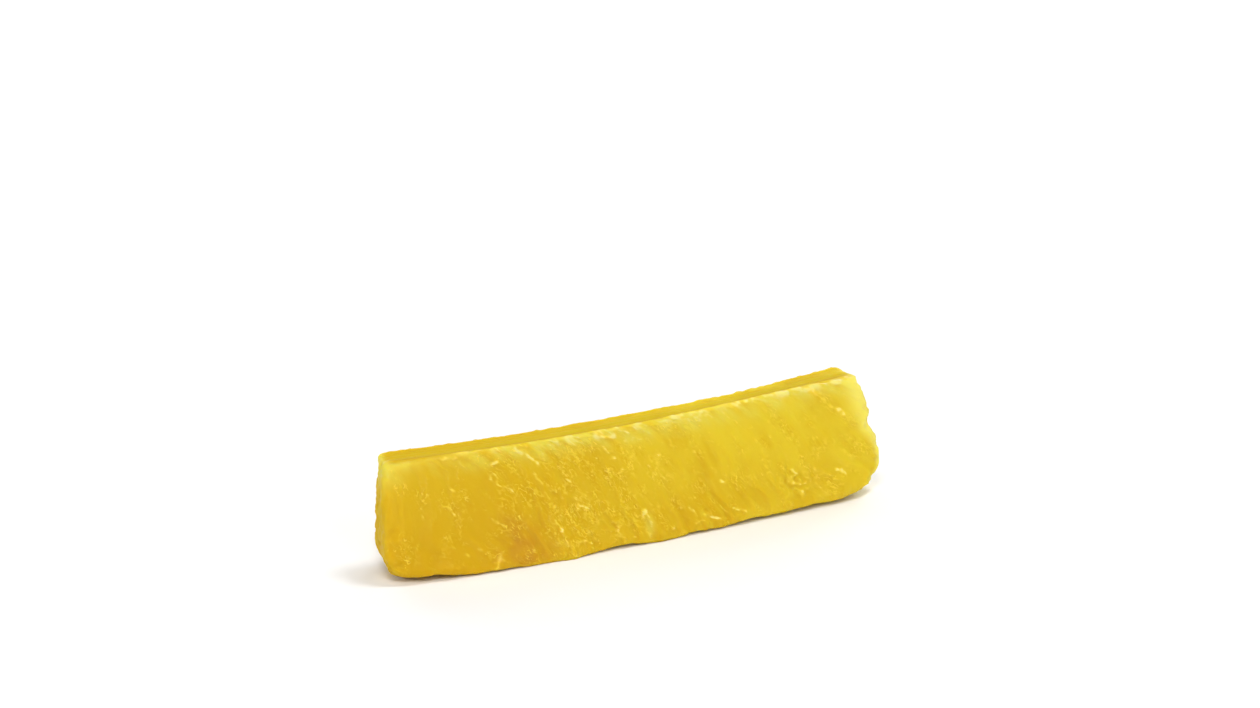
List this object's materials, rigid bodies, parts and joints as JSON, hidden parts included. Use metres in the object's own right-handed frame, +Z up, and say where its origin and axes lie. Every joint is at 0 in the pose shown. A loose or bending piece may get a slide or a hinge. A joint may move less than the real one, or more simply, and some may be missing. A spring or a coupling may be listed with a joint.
{
  "type": "pineapple spear",
  "caption": "Spear of peeled fresh pineapple: a long bowed wedge of golden fibrous flesh, lying on its rounded rind side with the narrow hollow core side up.",
  "frame": {"origin": "middle of the base, on the surface that the spear lies on", "axes": "+X along the spear towards its fuller end, +Z up from the rind side to the core side, -Y towards the front cut face"},
  "size_m": [0.1564, 0.0248, 0.0339],
  "materials": {
    "flesh": "wet, translucent golden yellow fruit flesh with paler fibres"
  },
  "bodies": {
    "root": {"pineapple_spear": "flesh"}
  },
  "joints": []
}
